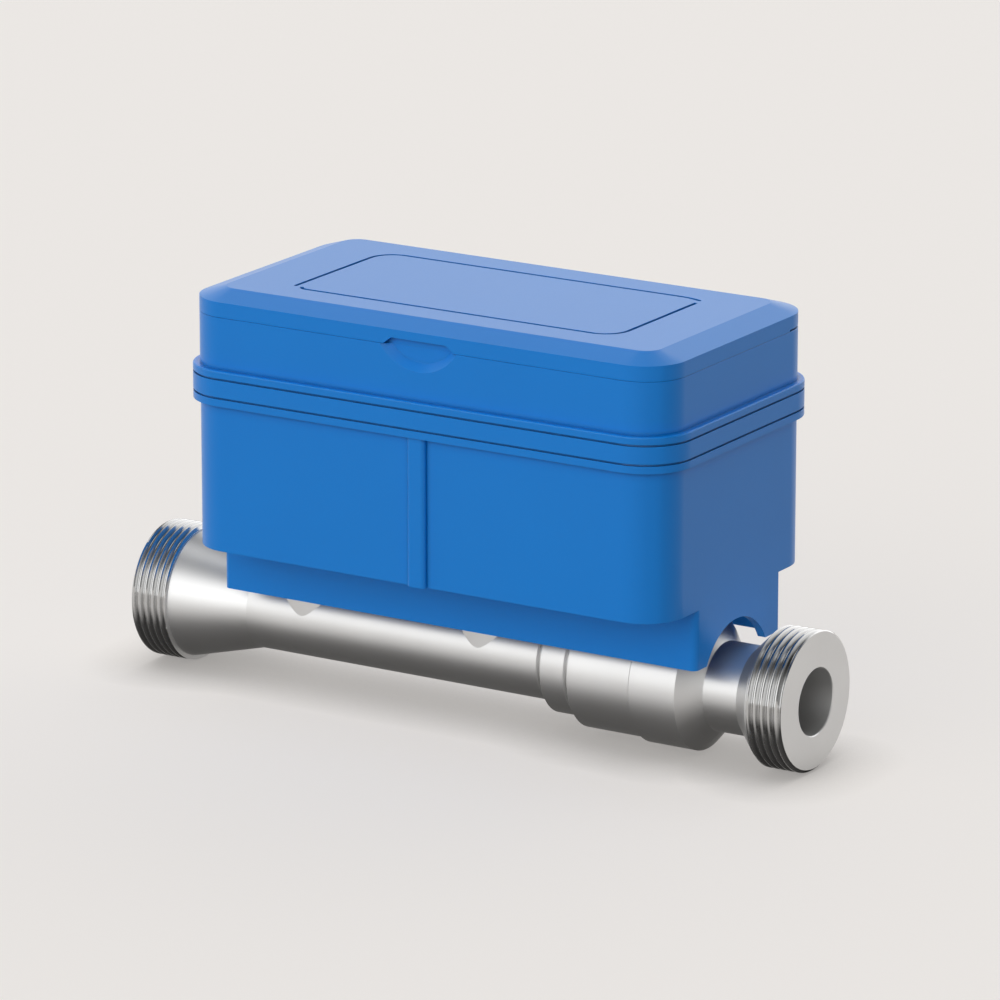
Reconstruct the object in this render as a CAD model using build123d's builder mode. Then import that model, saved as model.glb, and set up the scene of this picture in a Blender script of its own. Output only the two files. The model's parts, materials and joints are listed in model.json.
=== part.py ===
from build123d import *
from math import asin, cos, pi, radians, sin, sqrt, tan
import os

# Ultrasonic water meter with a motor-driven ball valve, in millimetres.
# X runs along the pipe from the inlet face, Z is up and the pipe axis is the X axis.
# The hinge of the lid is on the +Y side and the thumb notch on the -Y side.

# Pipe, from the inlet face at x = 0
laying_length = 225.0
thread_radius = 20.955
thread_length = 11.7
thread_chamfer = 0.3
bore_radius = 10.0
cone_mouth_radius = 19.5
cone_start = 12.2
cone_end = 36.6
tube_radius = 13.3
tube_to_outlet = 86.1
spigot_radius = 12.2
spigot_length = 16.7
edge_break = 0.35

# Transducer towers on the tube
inlet_tower_x = 56.2
tower_to_tube_end = 20.8
tower_radius = 13.05
tower_top = 27.9
transducer_bore = 7.0
transducer_seat_radius = 8.2
transducer_seat = 24.4
transducer_neck_radius = 5.5
transducer_face = 11.5
tower_screw_reach = 10.6
reflector_radius = 4.5
reflector_seat = -8.9
reflector_foot_radius = 2.5
reflector_foot_depth = 2.6

# Lock ring, valve sleeve and outlet body
ring_gap = 2.5
ring_length = 8.5
ring_radius = 16.3
collar_radius = 15.2
collar_length = 2.3
sleeve_length = 21.4
sleeve_radius = 18.98
sleeve_web_length = 6.0
tube_seal_room = 1.6
body_seal_room = 1.8
joint_radius = 15.5
joint_wall = 2.1
barrel_radius = 19.98
barrel_length = 15.7
barrel_taper = 5.7
neck_to_outlet = 18.9
neck_radius = 13.37
thread_gap = 0.1
seal_cord_radius = 0.88
tube_seal_cord_radius = 0.78

# Ball valve
ball_from_sleeve = 7.4
ball_radius = 13.0
ball_port_radius = 9.0
ball_gap = 0.05
seat_contact_radius = 10.5
seat_length = 4.0
seat_outer_radius = 12.2
seat_bore_radius = 9.3
seat_lead = 0.8
stem_radius = 3.5
stem_gap = 0.08
stem_flange_radius = 4.6
stem_flange_height = 1.8
stem_flange_foot = 13.5
stem_boss_radius = 6.9
tang_width = 3.0
tang_length = 7.0
tang_foot = 10.3
slot_gap = 0.1
slot_foot = 10.1
stem_seal_heights = (17.6, 20.0)
stem_seal_cord_radius = 0.5
gland_radius = 5.2
gland_height = 5.4
gear_shoulder = 36.5
gear_height = 5.0
square_width = 4.8
stem_clearance = 0.5
gear_screw_reach = 5.5

# Drive
module = 1.0
stem_teeth = 24
pinion_teeth = 12
pressure_angle = 20.0
tip_share = 0.95
mesh_gap = 0.25
backlash = 0.34
pinion_shaft_radius = 2.0
pinion_shaft_reach = 6.0
pinion_hub_radius = 3.4
pinion_hub = 2.0
plate_foot = 44.0
plate_thickness = 2.0
plate_half_width = 17.5
plate_before_ball = 34.0
plate_past_ball = 13.0
gearbox_radius = 12.0
gearbox_height = 14.0
motor_radius = 10.0
motor_height = 14.0
motor_boss_radius = 4.0
motor_boss = 1.4
lug_reach = 14.2
lug_radius = 3.0
lug_thickness = 2.4
plate_boss_radius = 3.2
plate_screw_hole = 8.5
plate_screw_grip = 8.0
plate_boss_inset = 3.4

# Housing, centred on its own place along the pipe
housing_start = 35.6
housing_to_outlet = 26.4
housing_width = 87.3
corner_radius = 13.0
tub_inset = 0.1
wall = 2.6
skirt_foot = 10.85
skirt_front = 23.4
skirt_rear = 25.8
skirt_wall = 2.3
skirt_corner = 2.0
arch_centre = 1.7
arch_radius = 19.3
tub_foot = 28.9
floor_thickness = 3.0
rim_overhang = 2.1
rim_foot = 73.7
low_joint = 76.2
high_joint = 81.9
rim_top = 84.4
rim_round = 0.5
lid_seam = 100.0
lid_shoulder = 104.6
lid_top = 107.1
lid_bevel = 7.95
seam_rebate = 0.3
seam_depth = 0.8
lid_break = 0.12
lid_cavity_top = 103.9
rib_half_width = 3.1
rib_height = 1.6
rib_round = 1.4

# Thumb recess, centred on the front
scoop_radius = 15.6
scoop_rise = 8.5
scoop_shift = 0.3
scoop_depth = 2.0
scoop_slope = 2.4
notch_half_top = 9.3
notch_half_foot = 12.1
notch_height = 2.1
notch_round = 0.6
pad_half_width = 17.0
pad_thickness = 1.6

# Grooves in the lid, measured from the middle of the lid
groove_width = 1.2
groove_depth = 1.0
groove_end_margin = 26.35
groove_back_margin = 18.8
groove_front_margin = 18.25
groove_corner = 7.5
groove_hook = 2.4
groove_hook_rise = 1.45
groove_front_turn = 5.15
groove_back_turn = 8.15
groove_back_hook = 0.6
groove_side_stop = 4.75

# Lid hinge behind the collar
hinge_offset = 1.3
hinge_z = 100.4
knuckle_radius = 2.6
knuckle_gap = 0.3
hinge_pin_radius = 1.2
hinge_pin_gap = 0.06
lid_knuckle_half = 20.0
housing_knuckle = 16.0
hinge_leaf_height = 5.0
rear_relief = 0.6
rear_relief_length = 14.25

# Deck under the lid and what it holds
deck_foot = 88.0
deck_top = 90.5
window_length = 70.0
window_width = 36.0
window_thickness = 1.6
window_ledge = 2.5
window_gap = 0.1
display_length = 64.0
display_width = 32.0
display_foot = 84.6
display_top = 87.4
holder_wall = 2.0
display_x = -20.0
ledge_height = 3.0
ledge_end_width = 11.5
ledge_side_width = 9.65
frame_opening_corner = 10.0
board_thickness = 1.6
board_gap = 0.4
gasket_width = 2.0
gasket_depth = 1.6
gasket_inset = 1.4
gasket_gap = 0.1
cover_screw_inset = 7.8
board_screw_inset_x = 7.5
board_screw_inset_y = 6.25
board_screw_spread = 18.0
cover_boss_radius = 5.4
cover_screw_hole = 16.0
cover_screw_grip = 14.0
antenna_radius = 3.4
antenna_length = 50.0
antenna_x = -62.0

# Battery
cell_radius = 13.0
cell_to_tower = 5.95
cell_y = 15.0
cell_tip_radius = 3.0
cell_tip = 1.5
tray_inset = 1.5
tray_base = 1.5
tray_wall = 1.8
tray_wall_height = 20.0
tray_gap = 0.15
tray_divider = 20.0
tray_screw_inset = 9.5
floor_screw_reach = 10.5
screw_end_gap = 0.2

# Screws, as shank radius, head radius and head height
small_screw = (1.2, 2.3, 1.8)
cover_screw = (1.5, 2.8, 2.2)
gearbox_screw = (0.95, 1.8, 1.4)
gear_screw = (1.2, 4.0, 1.6)
hole_gap = 0.15
screw_gap = 0.05

tube_end = laying_length - tube_to_outlet
tower_x = (inlet_tower_x, tube_end - tower_to_tube_end)
spigot_end = tube_end + spigot_length
ring_start = tube_end + ring_gap
ring_end = ring_start + ring_length
sleeve_start = ring_end + collar_length
sleeve_end = sleeve_start + sleeve_length
sleeve_web_start = spigot_end + tube_seal_room
sleeve_web_end = sleeve_web_start + sleeve_web_length
body_spigot_start = sleeve_web_end + body_seal_room
barrel_end = sleeve_end + barrel_length
neck_start = barrel_end + barrel_taper
neck_end = laying_length - neck_to_outlet
ball_x = sleeve_end + ball_from_sleeve
plate_start = ball_x - plate_before_ball
plate_end = ball_x + plate_past_ball
plate_boss_places = [
    (x, side * (plate_half_width - plate_boss_inset))
    for x in (plate_start + plate_boss_inset, plate_end - plate_boss_inset)
    for side in (-1, 1)
]

housing_length = laying_length - housing_start - housing_to_outlet
housing_x = housing_start + housing_length / 2
frame_opening_length = housing_length - 2 * ledge_end_width
frame_opening_width = housing_width - 2 * ledge_side_width
groove_reach_x = housing_length / 2 - groove_end_margin
groove_back = housing_width / 2 - groove_back_margin
groove_front = groove_front_margin - housing_width / 2
hinge_y = housing_width / 2 + hinge_offset
rear_relief_start = housing_width / 2 - rear_relief_length
tub_length = housing_length - 2 * tub_inset
tub_width = housing_width - 2 * tub_inset
tub_start = housing_x - tub_length / 2
floor_top = tub_foot + floor_thickness
seat_offset = sqrt(ball_radius**2 - seat_contact_radius**2)
inlet_seat_end = ball_x - seat_offset + seat_lead
outlet_seat_start = ball_x + seat_offset - seat_lead
gear_spacing = module * (stem_teeth + pinion_teeth) / 2 + mesh_gap
pinion_x = ball_x - gear_spacing
board_foot = low_joint + ledge_height
board_top = board_foot + board_thickness
plate_top = plate_foot + plate_thickness
cell_x = (tower_x[0] + tower_x[1]) / 2
cell_length = 2 * (tower_x[1] - cell_x - cell_to_tower)
tray_length = cell_length - 2 * tray_inset
tray_screw_reach = tray_length / 2 - tray_screw_inset
cell_z = floor_top + tray_base + tray_gap + cell_radius
tray_half_width = cell_y + cell_radius + tray_gap + tray_wall
tray_screw_places = [(cell_x + side * tray_screw_reach, 0) for side in (-1, 1)]
tower_screw_places = [(x, side * tower_screw_reach) for x in tower_x for side in (-1, 1)]
gearbox_screw_places = [(pinion_x, side * lug_reach) for side in (-1, 1)]
board_screw_places = [
    (x * (housing_length / 2 - board_screw_inset_x), y * board_screw_spread)
    for x in (-1, 1)
    for y in (-1, 1)
] + [(0, side * (housing_width / 2 - board_screw_inset_y)) for side in (-1, 1)]
gasket_inner_grow = rim_overhang - gasket_inset - gasket_width
notch_x = housing_x + scoop_shift
scoop_origin = (notch_x, -housing_width / 2, lid_seam + scoop_rise)
cover_screw_places = [
    (x * (housing_length / 2 - cover_screw_inset), y * (housing_width / 2 - cover_screw_inset))
    for x in (-1, 1)
    for y in (-1, 1)
]
os.makedirs("parts", exist_ok=True)


def level(height):
    """Horizontal plane at a height above the pipe axis, centred on the housing."""
    return Plane(origin=(housing_x, 0, height))


def tower_plane(x, height):
    """Horizontal plane centred on a tower or on the valve stem."""
    return Plane(origin=(x, 0, height))


def outline(grow, mode=Mode.ADD):
    """Rounded outline of the housing, grown or shrunk all round."""
    RectangleRounded(
        housing_length + 2 * grow, housing_width + 2 * grow, corner_radius + grow, mode=mode
    )


def save(piece, name):
    piece.part.label = name
    export_step(piece.part, f"parts/{name}.step")


def screws(name, places, seat, reach, size, up=False):
    """Screws with cylinder heads and a cross recess, heads on a seat, shanks below or above it."""
    shank, head, head_height = size
    turn = 1 if up else -1
    with BuildPart() as group:
        with BuildSketch(Plane.XY.offset(seat)):
            with Locations(*places):
                Circle(head)
        extrude(amount=-turn * head_height)
        with BuildSketch(Plane.XY.offset(seat)):
            with Locations(*places):
                Circle(shank)
        extrude(amount=turn * reach)
        with BuildSketch(Plane.XY.offset(seat - turn * head_height)):
            with Locations(*places):
                Rectangle(1.3 * head, 0.28 * head)
                Rectangle(0.28 * head, 1.3 * head)
        extrude(amount=turn * 0.45 * head_height, mode=Mode.SUBTRACT)
    save(group, name)


# Flow tube: inlet thread, cone, tube with two towers, and the spigot under the lock ring
with BuildPart() as flow_tube:
    with BuildSketch(Plane.XZ):
        with BuildLine():
            Polyline(
                (0, 0),
                (0, thread_radius - thread_chamfer),
                (thread_chamfer, thread_radius),
                (cone_start, thread_radius),
                (cone_start, cone_mouth_radius),
                (cone_end, tube_radius),
                (tube_end - edge_break, tube_radius),
                (tube_end, tube_radius - edge_break),
                (tube_end, spigot_radius),
                (spigot_end, spigot_radius),
                (spigot_end, 0),
                close=True,
            )
        make_face()
    revolve(axis=Axis.X)
    for x in tower_x:
        with BuildSketch(tower_plane(x, 0)):
            Circle(tower_radius)
        extrude(amount=tower_top)
    with BuildSketch(Plane.YZ):
        Circle(bore_radius)
    extrude(amount=spigot_end, mode=Mode.SUBTRACT)
    for x in tower_x:
        with BuildSketch(tower_plane(x, 0)):
            Circle(transducer_bore)
        extrude(amount=tower_top, mode=Mode.SUBTRACT)
        with BuildSketch(tower_plane(x, transducer_seat)):
            Circle(transducer_seat_radius)
        extrude(amount=tower_top - transducer_seat, mode=Mode.SUBTRACT)
        with BuildSketch(tower_plane(x, tower_top)):
            with Locations((0, tower_screw_reach), (0, -tower_screw_reach)):
                Circle(small_screw[0] + screw_gap)
        extrude(amount=-9, mode=Mode.SUBTRACT)
        with BuildSketch(tower_plane(x, 0)):
            Circle(reflector_foot_radius + hole_gap / 3)
        extrude(amount=reflector_seat - reflector_foot_depth - hole_gap, mode=Mode.SUBTRACT)
save(flow_tube, "flow_tube")

with BuildPart() as lock_ring:
    with BuildSketch(Plane.XZ):
        with BuildLine():
            Polyline(
                (ring_start, spigot_radius + thread_gap),
                (ring_start, ring_radius - edge_break),
                (ring_start + edge_break, ring_radius),
                (ring_end - edge_break, ring_radius),
                (ring_end, ring_radius - edge_break),
                (ring_end, spigot_radius + thread_gap),
                close=True,
            )
        make_face()
    revolve(axis=Axis.X)
save(lock_ring, "lock_ring")

# Valve sleeve: takes the tube in one end and the outlet body in the other,
# with a nose between them that carries the inlet seat.
nose_radius = joint_radius - joint_wall - thread_gap
with BuildPart() as valve_sleeve:
    with BuildSketch(Plane.XZ):
        with BuildLine():
            Polyline(
                (ring_end, spigot_radius + thread_gap),
                (ring_end, collar_radius),
                (sleeve_start, collar_radius),
                (sleeve_start, sleeve_radius - edge_break),
                (sleeve_start + edge_break, sleeve_radius),
                (sleeve_end - edge_break, sleeve_radius),
                (sleeve_end, sleeve_radius - edge_break),
                (sleeve_end, joint_radius + thread_gap),
                (sleeve_web_end, joint_radius + thread_gap),
                (sleeve_web_end, nose_radius),
                (inlet_seat_end - seat_lead, nose_radius),
                (inlet_seat_end - seat_lead, seat_outer_radius + ball_gap),
                (inlet_seat_end - seat_length, seat_outer_radius + ball_gap),
                (inlet_seat_end - seat_length, bore_radius),
                (sleeve_web_start, bore_radius),
                (sleeve_web_start, spigot_radius + thread_gap),
                close=True,
            )
        make_face()
    revolve(axis=Axis.X)
save(valve_sleeve, "valve_sleeve")

# Outlet body: spigot inside the sleeve, barrel round the ball, cone, neck and outlet thread
with BuildPart() as outlet_body:
    with BuildSketch(Plane.XZ):
        with BuildLine():
            Polyline(
                (body_spigot_start, 0),
                (body_spigot_start, joint_radius),
                (sleeve_end, joint_radius),
                (sleeve_end, barrel_radius - edge_break),
                (sleeve_end + edge_break, barrel_radius),
                (barrel_end, barrel_radius),
                (neck_start, neck_radius),
                (neck_end, neck_radius),
                (laying_length - thread_length, thread_radius),
                (laying_length - thread_chamfer, thread_radius),
                (laying_length, thread_radius - thread_chamfer),
                (laying_length, 0),
                close=True,
            )
        make_face()
    revolve(axis=Axis.X)
    with BuildSketch(tower_plane(ball_x, 0)):
        Circle(stem_boss_radius)
    extrude(amount=tower_top)
    with BuildSketch(Plane.XZ):
        with BuildLine():
            Polyline(
                (body_spigot_start, 0),
                (body_spigot_start, joint_radius - joint_wall),
                (outlet_seat_start, joint_radius - joint_wall),
                (outlet_seat_start, seat_outer_radius + ball_gap),
                (outlet_seat_start + seat_length, seat_outer_radius + ball_gap),
                (outlet_seat_start + seat_length, bore_radius),
                (laying_length, bore_radius),
                (laying_length, 0),
                close=True,
            )
        make_face()
    revolve(axis=Axis.X, mode=Mode.SUBTRACT)
    with BuildSketch(tower_plane(ball_x, 0)):
        Circle(stem_radius + stem_gap)
    extrude(amount=tower_top, mode=Mode.SUBTRACT)
    with BuildSketch(tower_plane(ball_x, 0)):
        Circle(stem_flange_radius + hole_gap)
    extrude(amount=stem_flange_foot + stem_flange_height + stem_gap, mode=Mode.SUBTRACT)
    with BuildSketch(tower_plane(ball_x, tower_top - gland_height)):
        Circle(gland_radius)
    extrude(amount=gland_height, mode=Mode.SUBTRACT)
save(outlet_body, "outlet_body")


def cord_ring(name, centre, ring, cord):
    """Round cord seal about the pipe axis."""
    with BuildPart() as seal:
        with Locations(Plane.YZ.offset(centre)):
            Torus(ring, cord)
    save(seal, name)


tube_seal_ring = (bore_radius + spigot_radius) / 2
body_seal_ring = joint_radius - joint_wall / 2
cord_ring(
    "tube_seal", (spigot_end + sleeve_web_start) / 2, tube_seal_ring, tube_seal_cord_radius
)
cord_ring("body_seal", (sleeve_web_end + body_spigot_start) / 2, body_seal_ring, seal_cord_radius)

# Ball with its port along the pipe when open, and a slot across it for the stem's tang
with BuildPart() as valve_ball:
    with Locations((ball_x, 0, 0)):
        Sphere(ball_radius)
    with BuildSketch(Plane.YZ.offset(ball_x - ball_radius)):
        Circle(ball_port_radius)
    extrude(amount=2 * ball_radius, mode=Mode.SUBTRACT)
    with BuildSketch(tower_plane(ball_x, slot_foot)):
        Rectangle(tang_width + 2 * slot_gap, 2 * ball_radius)
    extrude(amount=ball_radius, mode=Mode.SUBTRACT)
save(valve_ball, "valve_ball")

# Seats: plastic rings hollowed to the ball
hollow_radius = ball_radius + ball_gap
hollow_edge = sqrt(hollow_radius**2 - (outlet_seat_start - ball_x) ** 2)
for name, turn in (("inlet_seat", -1), ("outlet_seat", 1)):
    near = ball_x + turn * (outlet_seat_start - ball_x)
    far = near + turn * seat_length
    rim_angle = asin(hollow_edge / hollow_radius)
    mouth_angle = asin(seat_bore_radius / hollow_radius)
    rim_point, middle_point, mouth_point = [
        (ball_x + turn * hollow_radius * cos(angle), hollow_radius * sin(angle))
        for angle in (rim_angle, (rim_angle + mouth_angle) / 2, mouth_angle)
    ]
    with BuildPart() as seat:
        with BuildSketch(Plane.XZ):
            with BuildLine():
                ThreePointArc(rim_point, middle_point, mouth_point)
                Polyline(
                    mouth_point,
                    (far, seat_bore_radius),
                    (far, seat_outer_radius),
                    (near, seat_outer_radius),
                    rim_point,
                )
            make_face()
        revolve(axis=Axis.X)
    save(seat, name)

with BuildPart() as valve_stem:
    with BuildSketch(tower_plane(ball_x, tang_foot)):
        Rectangle(tang_width, tang_length)
    extrude(amount=stem_flange_foot - tang_foot)
    with BuildSketch(tower_plane(ball_x, stem_flange_foot)):
        Circle(stem_flange_radius)
    extrude(amount=stem_flange_height)
    with BuildSketch(tower_plane(ball_x, stem_flange_foot)):
        Circle(stem_radius)
    extrude(amount=gear_shoulder - stem_flange_foot)
    with BuildSketch(tower_plane(ball_x, gear_shoulder)):
        Rectangle(square_width, square_width)
    extrude(amount=gear_height)
    for height in stem_seal_heights:
        with BuildSketch(tower_plane(ball_x, height - 0.75)):
            Circle(stem_radius + 1)
            Circle(stem_radius - 2 * stem_seal_cord_radius, mode=Mode.SUBTRACT)
        extrude(amount=1.5, mode=Mode.SUBTRACT)
    with BuildSketch(tower_plane(ball_x, gear_shoulder + gear_height)):
        Circle(small_screw[0] + screw_gap)
    extrude(amount=-6, mode=Mode.SUBTRACT)
save(valve_stem, "valve_stem")

for name, height in zip(("lower_stem_seal", "upper_stem_seal"), stem_seal_heights):
    with BuildPart() as stem_seal:
        with Locations((ball_x, 0, height)):
            Torus(stem_radius - stem_seal_cord_radius + 0.03, stem_seal_cord_radius)
    save(stem_seal, name)

with BuildPart() as gland_nut:
    with BuildSketch(tower_plane(ball_x, tower_top - gland_height)):
        Circle(gland_radius - hole_gap / 3)
        Circle(stem_radius + stem_gap, mode=Mode.SUBTRACT)
    extrude(amount=gland_height)
    with BuildSketch(tower_plane(ball_x, tower_top)):
        Rectangle(3 * gland_radius, 1.2)
    extrude(amount=-1.4, mode=Mode.SUBTRACT)
save(gland_nut, "gland_nut")

# Transducers, their seals, the reflectors below them and the gaskets under the housing floor
for side, x, turn in (("inlet", tower_x[0], 1), ("outlet", tower_x[1], -1)):
    seal_height = (transducer_face + transducer_seat) / 2
    with BuildPart() as transducer:
        with BuildSketch(tower_plane(x, transducer_face)):
            Circle(transducer_bore - hole_gap / 2)
        extrude(amount=transducer_seat - transducer_face)
        with BuildSketch(tower_plane(x, transducer_seat)):
            Circle(transducer_seat_radius - hole_gap)
        extrude(amount=tub_foot - transducer_seat)
        with BuildSketch(tower_plane(x, tub_foot)):
            Circle(transducer_bore - 1.5)
        extrude(amount=floor_thickness + 1)
        with BuildSketch(tower_plane(x, seal_height - 1)):
            Circle(transducer_bore)
            Circle(transducer_bore - 1.5, mode=Mode.SUBTRACT)
        extrude(amount=2, mode=Mode.SUBTRACT)
        with BuildSketch(tower_plane(x, floor_top + 1)):
            with Locations((-2, 0), (2, 0)):
                Circle(0.5)
        extrude(amount=2.5)
    save(transducer, f"{side}_transducer")
    with BuildPart() as transducer_seal:
        with Locations((x, 0, seal_height)):
            Torus(transducer_bore - 0.75, 0.7)
    save(transducer_seal, f"{side}_transducer_seal")
    with BuildPart() as reflector:
        with BuildSketch(tower_plane(x, reflector_seat)):
            Circle(reflector_radius)
        extrude(amount=-reflector_seat + reflector_radius)
        with BuildSketch(tower_plane(x, reflector_seat)):
            Circle(reflector_foot_radius)
        extrude(amount=-reflector_foot_depth)
        with BuildSketch(Plane.XZ.offset(-2 * reflector_radius)):
            with BuildLine():
                Polyline(
                    (x - turn * 2 * reflector_radius, 2 * reflector_radius),
                    (x + turn * 2 * reflector_radius, 2 * reflector_radius),
                    (x + turn * 2 * reflector_radius, -2 * reflector_radius),
                    close=True,
                )
            make_face()
        extrude(amount=4 * reflector_radius, mode=Mode.SUBTRACT)
    save(reflector, f"{side}_reflector")
    with BuildPart() as tower_gasket:
        with BuildSketch(tower_plane(x, tower_top)):
            Circle(tower_radius)
            Circle(transducer_seat_radius, mode=Mode.SUBTRACT)
            with Locations((0, tower_screw_reach), (0, -tower_screw_reach)):
                Circle(small_screw[0] + hole_gap, mode=Mode.SUBTRACT)
        extrude(amount=tub_foot - tower_top)
    save(tower_gasket, f"{side}_tower_gasket")

with BuildPart() as stem_gasket:
    with BuildSketch(tower_plane(ball_x, tower_top)):
        Circle(stem_boss_radius)
        Circle(stem_radius + 0.5, mode=Mode.SUBTRACT)
    extrude(amount=tub_foot - tower_top)
save(stem_gasket, "stem_gasket")

screws("floor_screws", tower_screw_places, floor_top, floor_screw_reach, small_screw)

# Lower housing: tub with a flange, a rib on its front, and a skirt over the pipe
skirt_middle = (skirt_rear - skirt_front) / 2
skirt_width = skirt_rear + skirt_front
rib_depth = rib_height + wall
with BuildPart() as lower_housing:
    with BuildSketch(level(rim_foot)):
        outline(rim_overhang)
    extrude(amount=low_joint - seam_rebate - rim_foot)
    with BuildSketch(level(low_joint)):
        outline(rim_overhang - seam_depth)
    extrude(amount=-seam_rebate)
    with BuildSketch(level(tub_foot)):
        outline(-tub_inset)
    extrude(amount=low_joint - tub_foot)
    with BuildSketch(level(skirt_foot)):
        with Locations((0, skirt_middle)):
            RectangleRounded(tub_length, skirt_width, skirt_corner)
    extrude(amount=tub_foot - skirt_foot)
    with BuildSketch(level(skirt_foot)):
        with Locations((0, skirt_middle)):
            Rectangle(tub_length - 2 * wall, skirt_width - 2 * skirt_wall)
    extrude(amount=tub_foot - skirt_foot, mode=Mode.SUBTRACT)
    with BuildSketch(Plane.YZ.offset(tub_start - 1)):
        with Locations((0, arch_centre)):
            Circle(arch_radius)
    extrude(amount=tub_length + 2, mode=Mode.SUBTRACT)
    with BuildSketch(level(tub_foot)):
        with Locations((0, -tub_width / 2 - rib_height + rib_depth / 2)):
            Rectangle(2 * rib_half_width, rib_depth)
        fillet(vertices().group_by(Axis.Y)[0], rib_round)
    extrude(amount=rim_foot - tub_foot)
    with BuildSketch(level(floor_top)):
        outline(-tub_inset - wall)
    extrude(amount=low_joint - floor_top, mode=Mode.SUBTRACT)
    with BuildSketch(level(floor_top)):
        with Locations(*cover_screw_places):
            Circle(cover_boss_radius)
    extrude(amount=low_joint - floor_top)
    with BuildSketch(Plane.XY.offset(floor_top)):
        with Locations(*plate_boss_places):
            Circle(plate_boss_radius)
    extrude(amount=plate_foot - floor_top)
    with BuildSketch(Plane.XY.offset(plate_foot)):
        with Locations(*plate_boss_places):
            Circle(small_screw[0] + screw_gap)
    extrude(amount=-plate_screw_hole, mode=Mode.SUBTRACT)
    with BuildSketch(level(low_joint)):
        with Locations(*cover_screw_places):
            Circle(cover_screw[0] + screw_gap)
    extrude(amount=-cover_screw_hole, mode=Mode.SUBTRACT)
    with BuildSketch(Plane.XY.offset(tub_foot)):
        with Locations(*[(x, 0) for x in tower_x]):
            Circle(transducer_neck_radius + hole_gap)
        with Locations(*tower_screw_places):
            Circle(small_screw[0] + hole_gap)
        with Locations((ball_x, 0)):
            Circle(stem_radius + stem_clearance)
        with Locations(*tray_screw_places):
            Circle(small_screw[0] + screw_gap)
    extrude(amount=floor_thickness, mode=Mode.SUBTRACT)
    with BuildSketch(level(low_joint)):
        outline(rim_overhang - gasket_inset)
        outline(gasket_inner_grow, Mode.SUBTRACT)
    extrude(amount=-gasket_depth, mode=Mode.SUBTRACT)
save(lower_housing, "lower_housing")

# Middle frame: clamped between the two housings, its ledge carries the circuit board
with BuildPart() as middle_frame:
    with BuildSketch(level(low_joint)):
        outline(rim_overhang - seam_depth)
    extrude(amount=high_joint - low_joint)
    with BuildSketch(level(low_joint + seam_rebate)):
        outline(rim_overhang)
    extrude(amount=high_joint - low_joint - 2 * seam_rebate)
    with BuildSketch(level(low_joint)):
        RectangleRounded(frame_opening_length, frame_opening_width, frame_opening_corner)
    extrude(amount=high_joint - low_joint, mode=Mode.SUBTRACT)
    with BuildSketch(level(board_foot)):
        outline(-wall)
    extrude(amount=high_joint - board_foot, mode=Mode.SUBTRACT)
    with BuildSketch(level(board_foot)):
        with Locations(*cover_screw_places):
            Circle(cover_boss_radius)
    extrude(amount=high_joint - board_foot)
    with BuildSketch(level(low_joint)):
        with Locations(*cover_screw_places):
            Circle(cover_screw[0] + hole_gap)
        with Locations(*board_screw_places):
            Circle(small_screw[0] + screw_gap)
    extrude(amount=high_joint - low_joint, mode=Mode.SUBTRACT)
    with BuildSketch(level(high_joint)):
        outline(rim_overhang - gasket_inset)
        outline(gasket_inner_grow, Mode.SUBTRACT)
    extrude(amount=-gasket_depth, mode=Mode.SUBTRACT)
save(middle_frame, "middle_frame")

for name, height in (("lower_gasket", low_joint), ("upper_gasket", high_joint)):
    with BuildPart() as gasket:
        with BuildSketch(level(height)):
            outline(rim_overhang - gasket_inset - gasket_gap)
            outline(gasket_inner_grow + gasket_gap, Mode.SUBTRACT)
        extrude(amount=-gasket_depth)
    save(gasket, name)

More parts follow.
